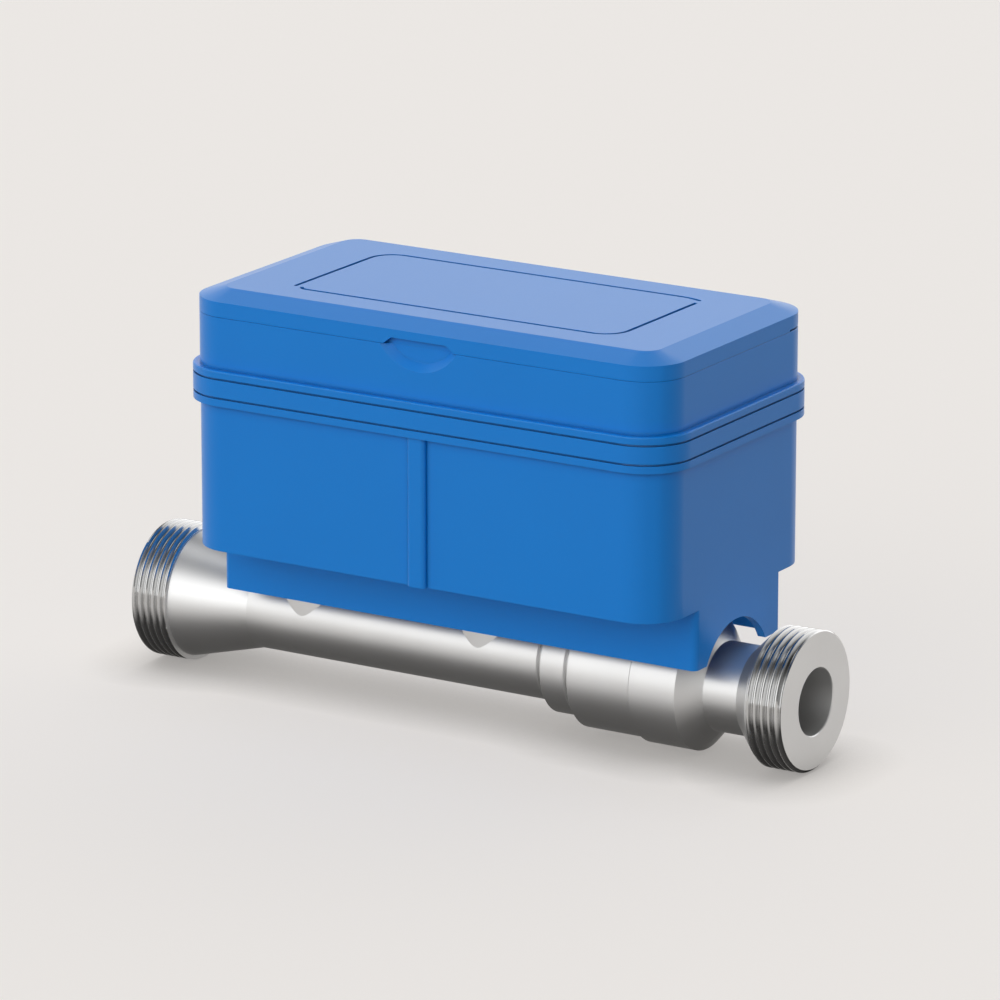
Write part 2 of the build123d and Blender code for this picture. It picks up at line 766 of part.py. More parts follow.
# Upper housing: flange, collar with the thumb scoop, deck under the lid and hinge knuckles
housing_knuckle_middle = lid_knuckle_half + knuckle_gap + housing_knuckle / 2
with BuildPart() as upper_housing:
    with BuildSketch(level(high_joint + seam_rebate)):
        outline(rim_overhang)
    extrude(amount=rim_top - high_joint - seam_rebate)
    fillet(upper_housing.faces().sort_by(Axis.Z)[-1].edges(), rim_round)
    with BuildSketch(level(high_joint)):
        outline(rim_overhang - seam_depth)
    extrude(amount=seam_rebate)
    with BuildSketch(level(high_joint)):
        outline(0)
    extrude(amount=lid_seam - high_joint)
    chamfer(upper_housing.faces().sort_by(Axis.Z)[-1].edges(), lid_break)
    with BuildSketch(level(high_joint)):
        outline(-wall)
    extrude(amount=deck_foot - high_joint, mode=Mode.SUBTRACT)
    with BuildSketch(level(deck_top)):
        outline(-wall)
    extrude(amount=lid_seam - deck_top, mode=Mode.SUBTRACT)
    with BuildSketch(level(deck_top)):
        with Locations((scoop_shift, -housing_width / 2 + wall + pad_thickness / 2)):
            Rectangle(2 * pad_half_width, pad_thickness)
    extrude(amount=lid_seam - deck_top)
    with Locations(Plane(scoop_origin, z_dir=(0, 1, 0))):
        Cone(
            scoop_radius,
            scoop_radius - scoop_slope,
            scoop_depth,
            align=(Align.CENTER, Align.CENTER, Align.MIN),
            mode=Mode.SUBTRACT,
        )
    with BuildSketch(level(high_joint)):
        with Locations(*cover_screw_places):
            Circle(cover_boss_radius)
    extrude(amount=deck_foot - high_joint)
    with BuildSketch(level(high_joint)):
        with Locations(*cover_screw_places):
            Circle(cover_screw[0] + hole_gap)
    extrude(amount=deck_top - high_joint, mode=Mode.SUBTRACT)
    with BuildSketch(level(deck_foot)):
        with Locations((display_x, 0)):
            Rectangle(window_length - 2 * window_ledge, window_width - 2 * window_ledge)
    extrude(amount=deck_top - deck_foot, mode=Mode.SUBTRACT)
    with BuildSketch(level(deck_top)):
        with Locations((display_x, 0)):
            Rectangle(window_length + 2 * window_gap, window_width + 2 * window_gap)
    extrude(amount=-window_thickness, mode=Mode.SUBTRACT)
    with BuildSketch(Plane.YZ.offset(housing_x - lid_knuckle_half - knuckle_gap)):
        with Locations((hinge_y, hinge_z)):
            Circle(knuckle_radius + knuckle_gap)
    extrude(amount=2 * (lid_knuckle_half + knuckle_gap), mode=Mode.SUBTRACT)
    for side in (-1, 1):
        knuckle_start = housing_x + side * housing_knuckle_middle - housing_knuckle / 2
        with BuildSketch(Plane.YZ.offset(knuckle_start)):
            with Locations((hinge_y, hinge_z)):
                Circle(knuckle_radius)
            with BuildLine():
                Polyline(
                    (housing_width / 2 - 1, hinge_z),
                    (hinge_y + knuckle_radius, hinge_z),
                    (housing_width / 2, hinge_z - hinge_leaf_height),
                    (housing_width / 2 - 1, hinge_z - hinge_leaf_height),
                    close=True,
                )
            make_face()
        extrude(amount=housing_knuckle)
    with BuildSketch(Plane.YZ.offset(housing_x - housing_knuckle_middle - housing_knuckle)):
        with Locations((hinge_y, hinge_z)):
            Circle(hinge_pin_radius + hinge_pin_gap)
    extrude(amount=2 * (housing_knuckle_middle + housing_knuckle), mode=Mode.SUBTRACT)
save(upper_housing, "upper_housing")

# Lid: hollow below, bevelled all round, two fine grooves on top and a notch over the scoop
with BuildPart() as lid:
    with BuildSketch(level(lid_seam)):
        outline(0)
    extrude(amount=lid_shoulder - lid_seam)
    chamfer(lid.faces().sort_by(Axis.Z)[0].edges(), lid_break)
    with BuildSketch(level(lid_shoulder)):
        outline(0)
    with BuildSketch(level(lid_top)):
        outline(-lid_bevel)
    loft(ruled=True)
    with BuildSketch(level(lid_seam)):
        outline(-wall)
    extrude(amount=lid_cavity_top - lid_seam, mode=Mode.SUBTRACT)
    with BuildSketch(level(lid_seam)):
        with Locations((scoop_shift, -housing_width / 2 + wall + pad_thickness / 2)):
            Rectangle(2 * pad_half_width, pad_thickness)
    extrude(amount=lid_cavity_top - lid_seam)
    with BuildSketch(Plane.XZ.offset(housing_width / 2)):
        with BuildLine():
            Polyline(
                (notch_x - notch_half_foot, lid_seam),
                (notch_x + notch_half_foot, lid_seam),
                (notch_x + notch_half_top, lid_seam + notch_height),
                (notch_x - notch_half_top, lid_seam + notch_height),
                close=True,
            )
        make_face()
        fillet(vertices().group_by(Axis.Y)[-1], notch_round)
    extrude(amount=-scoop_depth, mode=Mode.SUBTRACT)
    with BuildSketch(level(lid_seam)):
        with Locations((0, housing_width / 2)):
            Rectangle(
                housing_length + 2,
                2 * (housing_width / 2 - rear_relief_start),
            )
    extrude(amount=rear_relief, mode=Mode.SUBTRACT)
    with BuildSketch(level(lid_top)):
        with BuildLine():
            Line(
                (-groove_reach_x, groove_front + groove_hook),
                (-groove_reach_x, groove_back - groove_corner),
            )
            TangentArc(
                (-groove_reach_x, groove_back - groove_corner),
                (-groove_reach_x + groove_corner, groove_back),
                tangent=(0, 1),
            )
            Line(
                (-groove_reach_x + groove_corner, groove_back),
                (groove_reach_x - groove_back_turn, groove_back),
            )
            TangentArc(
                (groove_reach_x - groove_back_turn, groove_back),
                (groove_reach_x - groove_back_hook, groove_back - groove_hook_rise),
                tangent=(1, 0),
            )
            offset(amount=groove_width / 2, side=Side.BOTH, mode=Mode.REPLACE)
        make_face()
    extrude(amount=-groove_depth, mode=Mode.SUBTRACT)
    with BuildSketch(level(lid_top)):
        with BuildLine():
            Line(
                (groove_reach_x, groove_back - groove_side_stop),
                (groove_reach_x, groove_front + groove_corner),
            )
            TangentArc(
                (groove_reach_x, groove_front + groove_corner),
                (groove_reach_x - groove_corner, groove_front),
                tangent=(0, -1),
            )
            Line(
                (groove_reach_x - groove_corner, groove_front),
                (groove_front_turn - groove_reach_x, groove_front),
            )
            TangentArc(
                (groove_front_turn - groove_reach_x, groove_front),
                (groove_front_turn - groove_reach_x - groove_hook, groove_front + groove_hook_rise),
                tangent=(-1, 0),
            )
            offset(amount=groove_width / 2, side=Side.BOTH, mode=Mode.REPLACE)
        make_face()
    extrude(amount=-groove_depth, mode=Mode.SUBTRACT)
    for side in (-1, 1):
        relief_length = housing_knuckle + 2 * knuckle_gap
        relief_start = housing_x + side * housing_knuckle_middle - relief_length / 2
        with BuildSketch(Plane.YZ.offset(relief_start)):
            with Locations((hinge_y, hinge_z)):
                Circle(knuckle_radius + knuckle_gap)
        extrude(amount=relief_length, mode=Mode.SUBTRACT)
    with BuildSketch(Plane.YZ.offset(housing_x - lid_knuckle_half)):
        with Locations((hinge_y, hinge_z)):
            Circle(knuckle_radius)
    extrude(amount=2 * lid_knuckle_half)
    with BuildSketch(Plane.YZ.offset(housing_x - lid_knuckle_half)):
        with Locations((hinge_y, hinge_z)):
            Circle(hinge_pin_radius + hinge_pin_gap)
    extrude(amount=2 * lid_knuckle_half, mode=Mode.SUBTRACT)
save(lid, "lid")

with BuildPart() as hinge_pin:
    with BuildSketch(Plane.YZ.offset(housing_x - housing_knuckle_middle - housing_knuckle / 2)):
        with Locations((hinge_y, hinge_z)):
            Circle(hinge_pin_radius)
    extrude(amount=2 * housing_knuckle_middle + housing_knuckle)
save(hinge_pin, "hinge_pin")

with BuildPart() as window:
    with BuildSketch(level(deck_top)):
        with Locations((display_x, 0)):
            Rectangle(window_length, window_width)
    extrude(amount=-window_thickness)
save(window, "window")

cover_places = [(housing_x + x, y) for x, y in cover_screw_places]
screws("cover_screws", cover_places, deck_top, deck_top - low_joint + cover_screw_grip, cover_screw)

# Circuit board and what is soldered or clipped to it
with BuildPart() as circuit_board:
    with BuildSketch(level(board_foot)):
        outline(-wall - board_gap)
        with Locations(*cover_screw_places):
            Circle(cover_boss_radius + board_gap, mode=Mode.SUBTRACT)
        with Locations(*board_screw_places):
            Circle(small_screw[0] + hole_gap, mode=Mode.SUBTRACT)
    extrude(amount=board_thickness)
save(circuit_board, "circuit_board")

board_places = [(housing_x + x, y) for x, y in board_screw_places]
screws("board_screws", board_places, board_top, board_thickness + ledge_height - screw_end_gap, small_screw)

with BuildPart() as display_holder:
    with BuildSketch(level(board_top)):
        with Locations((display_x, 0)):
            Rectangle(display_length, display_width)
            Rectangle(
                display_length - 2 * holder_wall, display_width - 2 * holder_wall, mode=Mode.SUBTRACT
            )
    extrude(amount=display_foot - board_top)
save(display_holder, "display_holder")

with BuildPart() as display:
    with BuildSketch(level(display_foot)):
        with Locations((display_x, 0)):
            Rectangle(display_length, display_width)
    extrude(amount=display_top - display_foot)
save(display, "display")

for name, place, size, thickness in (
    ("processor_chip", (38, -12), (14, 14), 1.6),
    ("radio_module", (42, 14), (24, 18), 3.0),
    ("cell_connector", (62, -6), (6, 12), 5.6),
):
    with BuildPart() as component:
        with BuildSketch(level(board_top)):
            with Locations(place):
                Rectangle(*size)
        extrude(amount=thickness)
    save(component, name)

with BuildPart() as antenna:
    with BuildSketch(Plane.XZ.offset(-antenna_length / 2)):
        with Locations((housing_x + antenna_x, board_top + antenna_radius)):
            Circle(antenna_radius)
    extrude(amount=antenna_length)
save(antenna, "antenna")

# Battery cells in their tray
with BuildPart() as cell_tray:
    with BuildSketch(tower_plane(cell_x, floor_top)):
        Rectangle(tray_length, 2 * tray_half_width)
        with Locations((-tray_screw_reach, 0), (tray_screw_reach, 0)):
            Circle(small_screw[0] + hole_gap, mode=Mode.SUBTRACT)
    extrude(amount=tray_base)
    with BuildSketch(tower_plane(cell_x, floor_top)):
        with Locations(
            (0, tray_half_width - tray_wall / 2), (0, -tray_half_width + tray_wall / 2)
        ):
            Rectangle(tray_length, tray_wall)
    extrude(amount=tray_wall_height)
    with BuildSketch(tower_plane(cell_x, floor_top)):
        Rectangle(tray_divider, tray_wall)
    extrude(amount=tray_wall_height)
save(cell_tray, "cell_tray")

for name, side in (("front_cell", -1), ("rear_cell", 1)):
    with BuildPart() as cell:
        with BuildSketch(Plane.YZ.offset(cell_x - cell_length / 2)):
            with Locations((side * cell_y, cell_z)):
                Circle(cell_radius)
        extrude(amount=cell_length)
        with BuildSketch(Plane.YZ.offset(cell_x + cell_length / 2)):
            with Locations((side * cell_y, cell_z)):
                Circle(cell_tip_radius)
        extrude(amount=cell_tip)
    save(cell, name)

screws(
    "tray_screws",
    tray_screw_places,
    floor_top + tray_base,
    tray_base + floor_thickness - screw_end_gap,
    small_screw,
)

# Drive: motor and gearbox on a plate over the stem gear


def wheel_outline(teeth, turn):
    """Toothed outline with straight flanks that touch the involute at the pitch circle."""
    pitch_radius = module * teeth / 2
    half_tooth = (pi * module / 2 - backlash / 2) / 2
    lean = tan(radians(pressure_angle) - half_tooth / pitch_radius)
    root, tip = pitch_radius - 1.25 * module, pitch_radius + tip_share * module
    corners = []
    for tooth in range(teeth):
        angle = radians(turn + 360 * tooth / teeth)
        for radius, side in ((root, -1), (tip, -1), (tip, 1), (root, 1)):
            across = side * (half_tooth - lean * (radius - pitch_radius))
            corners.append(
                (
                    radius * cos(angle) - across * sin(angle),
                    radius * sin(angle) + across * cos(angle),
                )
            )
    Polygon(*corners, align=None)


with BuildPart() as stem_gear:
    with BuildSketch(tower_plane(ball_x, gear_shoulder)):
        wheel_outline(stem_teeth, 0)
        Rectangle(square_width + 2 * slot_gap, square_width + 2 * slot_gap, mode=Mode.SUBTRACT)
    extrude(amount=gear_height)
save(stem_gear, "stem_gear")

screws("gear_screw", [(ball_x, 0)], gear_shoulder + gear_height, gear_screw_reach, gear_screw)

with BuildPart() as pinion:
    with BuildSketch(tower_plane(pinion_x, gear_shoulder)):
        wheel_outline(pinion_teeth, 180 / pinion_teeth)
    extrude(amount=gear_height)
    with BuildSketch(tower_plane(pinion_x, gear_shoulder + gear_height)):
        Circle(pinion_hub_radius)
    extrude(amount=pinion_hub)
    with BuildSketch(tower_plane(pinion_x, gear_shoulder + gear_height)):
        Circle(pinion_shaft_radius)
    extrude(amount=plate_top + pinion_shaft_reach - gear_shoulder - gear_height)
save(pinion, "pinion")

with BuildPart() as drive_plate:
    with BuildSketch(Plane.XY.offset(plate_foot)):
        with Locations(((plate_start + plate_end) / 2, 0)):
            RectangleRounded(plate_end - plate_start, 2 * plate_half_width, plate_boss_radius)
        with Locations(*plate_boss_places):
            Circle(small_screw[0] + hole_gap, mode=Mode.SUBTRACT)
        with Locations((pinion_x, 0)):
            Circle(pinion_shaft_radius + stem_gap, mode=Mode.SUBTRACT)
        with Locations(*gearbox_screw_places):
            Circle(gearbox_screw[0] + screw_gap, mode=Mode.SUBTRACT)
    extrude(amount=plate_thickness)
save(drive_plate, "drive_plate")

with BuildPart() as gearbox:
    with BuildSketch(tower_plane(pinion_x, plate_top)):
        Circle(gearbox_radius)
        SlotCenterToCenter(2 * lug_reach, 2 * lug_radius, rotation=90)
    extrude(amount=lug_thickness)
    with BuildSketch(tower_plane(pinion_x, plate_top)):
        Circle(gearbox_radius)
    extrude(amount=gearbox_height)
    with BuildSketch(tower_plane(pinion_x, plate_top)):
        with Locations((0, lug_reach), (0, -lug_reach)):
            Circle(gearbox_screw[0] + hole_gap)
    extrude(amount=lug_thickness, mode=Mode.SUBTRACT)
    with BuildSketch(tower_plane(pinion_x, plate_top)):
        Circle(pinion_shaft_radius + stem_gap)
    extrude(amount=pinion_shaft_reach + hole_gap, mode=Mode.SUBTRACT)
save(gearbox, "gearbox")

with BuildPart() as motor:
    with BuildSketch(tower_plane(pinion_x, plate_top + gearbox_height)):
        Circle(motor_radius)
    extrude(amount=motor_height)
    with BuildSketch(tower_plane(pinion_x, plate_top + gearbox_height + motor_height)):
        Circle(motor_boss_radius)
    extrude(amount=motor_boss)
save(motor, "motor")

screws("plate_screws", plate_boss_places, plate_top, plate_thickness + plate_screw_grip, small_screw)
screws(
    "gearbox_screws",
    gearbox_screw_places,
    plate_top + lug_thickness,
    lug_thickness + plate_thickness - screw_end_gap,
    gearbox_screw,
)
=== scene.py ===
import json
import math

import bpy
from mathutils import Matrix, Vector


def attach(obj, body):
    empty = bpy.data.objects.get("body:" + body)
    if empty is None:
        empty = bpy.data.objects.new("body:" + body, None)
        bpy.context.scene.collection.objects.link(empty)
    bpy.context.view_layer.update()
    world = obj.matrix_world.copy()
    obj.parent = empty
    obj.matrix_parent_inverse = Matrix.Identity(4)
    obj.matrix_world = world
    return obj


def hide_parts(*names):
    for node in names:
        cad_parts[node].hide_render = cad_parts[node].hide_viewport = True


# Lengths are in millimetres and scaled to the frame's metres, angles are in degrees.
MM = 0.001

# Camera: long lens, from the outlet end and a little above
CAMERA_TURN = 31.792
CAMERA_RISE = 15.578
CAMERA_DISTANCE = 2045.5
CAMERA_TARGET = (117.13, 0.0, 50.42)
CAMERA_AIM_RIGHT = 0.75
CAMERA_AIM_DOWN = 5.75
CAMERA_LENS = 250.61
CAMERA_SENSOR = 36.0
CAMERA_FAR = 50000.0

# Floor: pale, half self-lit, darker where metal mirrors it steeply, with painted contact shadow near
# the part
FLOOR_SIZE = 9000.0
FLOOR_CENTRE = (100.0, 1000.0)
FLOOR_COLOUR = (0.365, 0.352, 0.340)
FLOOR_GLOW = 1.55
FLOOR_ROUGHNESS, FLOOR_SPECULAR = 0.9, 0.1
FLOOR_MIRROR_LOSS = 0.89
MIRROR_STEEP, MIRROR_SHALLOW = 0.42, 0.70
FLOOR_BOUNCE_LOSS = 0.97
CONTACT_SHADOW_REACH = 22.0
CONTACT_SHADOW_DEPTH = 0.45

# Light: a sky that is even along the horizon, with lobes towards compass directions
WALL_LIGHT = 1.74
FRONT_TURN, FRONT_GAIN, FRONT_SHARPNESS = 20.0, 0.25, 1.5
RIGHT_TURN, RIGHT_LOSS, RIGHT_SHARPNESS = 85.0, 1.6, 1.5
LEFT_TURN, LEFT_LOSS, LEFT_SHARPNESS = -90.0, 0.75, 1.0
ROOF_START, ROOF_END, ROOF_SHARE = 0.50, 0.85, 0.14
ZENITH_START, ZENITH_LIGHT = 0.94, 1.3

# Surfaces: grain of mouldings, rings of turned metal, spread of tint and roughness
GRAIN_SCALE, GRAIN_DETAIL, GRAIN_HEIGHT = 2200.0, 3.0, 0.04
FLOW_SCALE, FLOW_DETAIL = 30.0, 2.0
RING_SCALE, RING_DETAIL, RING_ROUGHNESS, RING_HEIGHT = 9000.0, 4.0, 0.7, 0.02
STREAK_SCALE, STREAK_DETAIL = 55.0, 3.0
TINT_START, TINT_END = 0.3, 0.7
MOULDED_SPREAD, TURNED_SPREAD = 0.04, 0.05
PLATED_SCALE, PLATED_STRENGTH = 3000.0, 0.08
CLEAR_IOR, CLEAR_TINT = 1.49, 1.03
BLUE_SPECULAR = 0.42

# Painted shade: colour darkened by ambient occlusion in narrow gaps, inner corners and thread roots
NOOK_SAMPLES = 8
NOOK_CLOSED = 0.35
SEAM_SHADE_REACH, SEAM_SHADE_DEPTH = 1.5, 0.5
THREAD_SHADE_REACH, THREAD_ROOT_SHADE_DEPTH = 1.3, 0.9

# Threads, G 1 1/4
THREAD_CREST = 20.955
THREAD_DEPTH = 1.479
THREAD_PITCH = 2.309
THREAD_TURNS = 6.3
THREAD_BREAK = 0.3
THREAD_STEPS = 96
THREAD_HALF_SHARE, THREAD_OVERSHOOT = 0.46, 0.35
THREAD_CUTS, THREAD_ROUND = 3, 0.5
THREAD_MARGIN, END_FACE_TILT = 0.1, 0.97
INLET_COIL_START = -1.35
OUTLET_COIL_START = 212.1

# Pipe, measured along x from the inlet's face
PIPE_SEGMENTS = 192
PIPE_SMOOTH_ANGLE = 10.0
LAYING_LENGTH = 225.0
BORE_RADIUS = 10.0
BORE_BREAK = 0.25
BORE_MARGIN, BORE_TILT = 0.2, 0.5
INLET_THREAD_END = 12.2
CONE_MOUTH = 19.5
CONE_END = 36.6
TUBE_RADIUS = 13.3
TUBE_END = 138.9
TUBE_BREAK = 0.35
SPIGOT_RADIUS = 12.2
SPIGOT_END = 155.6
CORE_START, CORE_END, CORE_HOLE = 20.0, 140.0, 0.4
TOWERS = (56.2, 118.1)
TOWER_RADIUS = 13.05
TOWER_FOOT = 0.5
TOWER_RING_REACH = 13.8
POST_TOP = 27.9
BODY_START = 165.0
BODY_SPIGOT_RADIUS = 15.5
BARREL_START = 174.0
BARREL_RADIUS = 19.98
BARREL_GAP = 0.4
BARREL_GAP_RADIUS = 18.9
BARREL_END = 189.3
NECK_START = 195.0
NECK_RADIUS = 13.37
NECK_END = 206.1
OUTLET_THREAD_START = NECK_END + THREAD_CREST - NECK_RADIUS
OUTLET_THREAD_FACES = 213.6
CHAMBER_RADIUS = 13.4
SEAT_START = 187.865
SEAT_LENGTH = 4.0
SEAT_RADIUS = 12.25
STEM_PLACE = 181.0
STEM_BOSS_RADIUS = 6.9
STEM_BOSS_FOOT = 14.5
STEM_BORE_RADIUS = 3.58
STEM_BORE_LOW, STEM_BORE_HIGH = 8.0, 30.0
BOSS_SEGMENTS, STEM_BORE_SEGMENTS = 64, 32

# Places of the two extra materials on a pipe piece, whose first one is plain steel
THREAD_PLACE, BORE_PLACE = 1, 2

# CAD piece, its rounded copy, the body it rides on and the width of its edge rounds
MOULDINGS = (
    ("lid", "lid_moulding", "cover_lid", 0.22),
    ("upper_housing", "upper_moulding", "meter", 0.18),
    ("middle_frame", "frame_moulding", "meter", 0.15),
    ("lower_housing", "lower_moulding", "meter", 0.22),
)
ROUND_ANGLE = 12.0
FLAT_ANGLE = 0.2
CAD_MERGE, LATHE_MERGE, COIL_MERGE = 2e-6, 1e-6, 1e-7

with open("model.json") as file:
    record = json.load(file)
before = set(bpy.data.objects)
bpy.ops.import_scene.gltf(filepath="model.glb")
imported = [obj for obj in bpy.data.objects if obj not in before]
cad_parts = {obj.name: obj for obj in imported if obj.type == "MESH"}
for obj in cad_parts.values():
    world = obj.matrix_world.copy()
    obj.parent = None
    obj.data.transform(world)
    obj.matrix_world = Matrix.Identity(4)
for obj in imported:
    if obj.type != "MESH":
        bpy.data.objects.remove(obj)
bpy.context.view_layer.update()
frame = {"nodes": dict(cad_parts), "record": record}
nodes = frame["nodes"]


def place_camera():
    turn, rise = math.radians(CAMERA_TURN), math.radians(CAMERA_RISE)
    target = Vector(CAMERA_TARGET) * MM
    back = Vector(
        (math.sin(turn) * math.cos(rise), -math.cos(turn) * math.cos(rise), math.sin(rise))
    )
    right = Vector((math.cos(turn), math.sin(turn), 0.0))
    up = back.cross(right)
    data = bpy.data.cameras.new("photo_camera")
    data.lens, data.sensor_width, data.clip_end = CAMERA_LENS, CAMERA_SENSOR, CAMERA_FAR * MM
    camera = bpy.data.objects.new("photo_camera", data)
    bpy.context.scene.collection.objects.link(camera)
    aim = target + (right * CAMERA_AIM_RIGHT - up * CAMERA_AIM_DOWN) * MM
    camera.location = target + back * CAMERA_DISTANCE * MM
    camera.rotation_euler = (camera.location - aim).to_track_quat("Z", "Y").to_euler()
    bpy.context.scene.camera = camera


# Shader groups


def float_input(group, name, value):
    socket = group.interface.new_socket(name, in_out="INPUT", socket_type="NodeSocketFloat")
    socket.default_value = value


def float_output(group, name):
    group.interface.new_socket(name, in_out="OUTPUT", socket_type="NodeSocketFloat")


def make_mould_grain():
    """Fine moulded-plastic grain: a height for bump and a small change of tint."""
    group = bpy.data.node_groups.new("mould_grain", "ShaderNodeTree")
    float_input(group, "Scale", GRAIN_SCALE)
    float_input(group, "Flow", FLOW_SCALE)
    float_output(group, "Height")
    float_output(group, "Tint")
    inputs = group.nodes.new("NodeGroupInput")
    outputs = group.nodes.new("NodeGroupOutput")
    place = group.nodes.new("ShaderNodeTexCoord")
    grain = group.nodes.new("ShaderNodeTexNoise")
    grain.inputs["Detail"].default_value = GRAIN_DETAIL
    flow = group.nodes.new("ShaderNodeTexNoise")
    flow.inputs["Detail"].default_value = FLOW_DETAIL
    link = group.links.new
    link(place.outputs["Object"], grain.inputs["Vector"])
    link(place.outputs["Object"], flow.inputs["Vector"])
    link(inputs.outputs["Scale"], grain.inputs["Scale"])
    link(inputs.outputs["Flow"], flow.inputs["Scale"])
    link(grain.outputs["Fac"], outputs.inputs["Height"])
    link(flow.outputs["Fac"], outputs.inputs["Tint"])
    return group


def make_turning_marks():
    """Fine rings left by a lathe about the pipe axis, as a height and a soft streak mask."""
    group = bpy.data.node_groups.new("turning_marks", "ShaderNodeTree")
    float_input(group, "Along", RING_SCALE)
    float_output(group, "Height")
    float_output(group, "Streak")
    inputs = group.nodes.new("NodeGroupInput")
    outputs = group.nodes.new("NodeGroupOutput")
    place = group.nodes.new("ShaderNodeTexCoord")
    parts = group.nodes.new("ShaderNodeSeparateXYZ")
    across = group.nodes.new("ShaderNodeCombineXYZ")
    radius = group.nodes.new("ShaderNodeVectorMath")
    radius.operation = "LENGTH"
    ring = group.nodes.new("ShaderNodeCombineXYZ")
    marks = group.nodes.new("ShaderNodeTexNoise")
    marks.inputs["Detail"].default_value = RING_DETAIL
    marks.inputs["Roughness"].default_value = RING_ROUGHNESS
    streak = group.nodes.new("ShaderNodeTexNoise")
    streak.inputs["Scale"].default_value = STREAK_SCALE
    streak.inputs["Detail"].default_value = STREAK_DETAIL
    link = group.links.new
    link(place.outputs["Object"], parts.inputs["Vector"])
    link(parts.outputs["Y"], across.inputs["Y"])
    link(parts.outputs["Z"], across.inputs["Z"])
    link(across.outputs["Vector"], radius.inputs[0])
    link(parts.outputs["X"], ring.inputs["X"])
    link(radius.outputs["Value"], ring.inputs["Y"])
    link(ring.outputs["Vector"], marks.inputs["Vector"])
    link(inputs.outputs["Along"], marks.inputs["Scale"])
    link(place.outputs["Object"], streak.inputs["Vector"])
    link(marks.outputs["Fac"], outputs.inputs["Height"])
    link(streak.outputs["Fac"], outputs.inputs["Streak"])
    return group


mould_grain = make_mould_grain()
turning_marks = make_turning_marks()


def new_material(name, roughness, metallic=0.0):
    """Principled material with its plain values on its own sockets."""
    material = bpy.data.materials.new(name)
    material.use_nodes = True
    shader = material.node_tree.nodes["Principled BSDF"]
    shader.inputs["Roughness"].default_value = roughness
    shader.inputs["Metallic"].default_value = metallic
    return material, shader


def add_bump(material, shader, height, strength, distance):
    bump = material.node_tree.nodes.new("ShaderNodeBump")
    bump.inputs["Strength"].default_value = strength
    bump.inputs["Distance"].default_value = distance * MM
    material.node_tree.links.new(height, bump.inputs["Height"])
    material.node_tree.links.new(bump.outputs["Normal"], shader.inputs["Normal"])


def blend_colours(material, shader, factor, dark, light):
    ramp = material.node_tree.nodes.new("ShaderNodeValToRGB")
    ramp.color_ramp.elements[0].position = TINT_START
    ramp.color_ramp.elements[1].position = TINT_END
    ramp.color_ramp.elements[0].color = (*dark, 1.0)
    ramp.color_ramp.elements[1].color = (*light, 1.0)
    material.node_tree.links.new(factor, ramp.inputs["Fac"])
    material.node_tree.links.new(ramp.outputs["Color"], shader.inputs["Base Color"])


def vary_roughness(material, shader, factor, middle, spread):
    span = material.node_tree.nodes.new("ShaderNodeMapRange")
    span.inputs["To Min"].default_value = middle - spread
    span.inputs["To Max"].default_value = middle + spread
    material.node_tree.links.new(factor, span.inputs["Value"])
    material.node_tree.links.new(span.outputs["Result"], shader.inputs["Roughness"])


def moulded(name, dark, light, roughness, grain=GRAIN_SCALE, strength=0.12):
    """Moulded plastic or rubber with grain and a faint change of tint."""
    material, shader = new_material(name, roughness)
    node = material.node_tree.nodes.new("ShaderNodeGroup")
    node.node_tree = mould_grain
    node.inputs["Scale"].default_value = grain
    blend_colours(material, shader, node.outputs["Tint"], dark, light)
    vary_roughness(material, shader, node.outputs["Height"], roughness, MOULDED_SPREAD)
    add_bump(material, shader, node.outputs["Height"], strength, GRAIN_HEIGHT)
    return material


def turned(name, dark, light, roughness, along=RING_SCALE, strength=0.10):
    """Metal turned about the pipe axis."""
    material, shader = new_material(name, roughness, 1.0)
    node = material.node_tree.nodes.new("ShaderNodeGroup")
    node.node_tree = turning_marks
    node.inputs["Along"].default_value = along
    blend_colours(material, shader, node.outputs["Streak"], dark, light)
    vary_roughness(material, shader, node.outputs["Height"], roughness, TURNED_SPREAD)
    add_bump(material, shader, node.outputs["Height"], strength, RING_HEIGHT)
    return material


def plated(name, dark, light, roughness):
    """Plated or cast metal with fine even grain."""
    material = moulded(name, dark, light, roughness, PLATED_SCALE, PLATED_STRENGTH)
    material.node_tree.nodes["Principled BSDF"].inputs["Metallic"].default_value = 1.0
    return material


def clear_glass(name, colour, roughness):
    material, shader = new_material(name, roughness)
    shader.inputs["Transmission Weight"].default_value = 1.0
    shader.inputs["IOR"].default_value = CLEAR_IOR
    node = material.node_tree.nodes.new("ShaderNodeGroup")
    node.node_tree = mould_grain
    lighter = [min(1.0, channel * CLEAR_TINT) for channel in colour]
    blend_colours(material, shader, node.outputs["Tint"], colour, lighter)
    return material


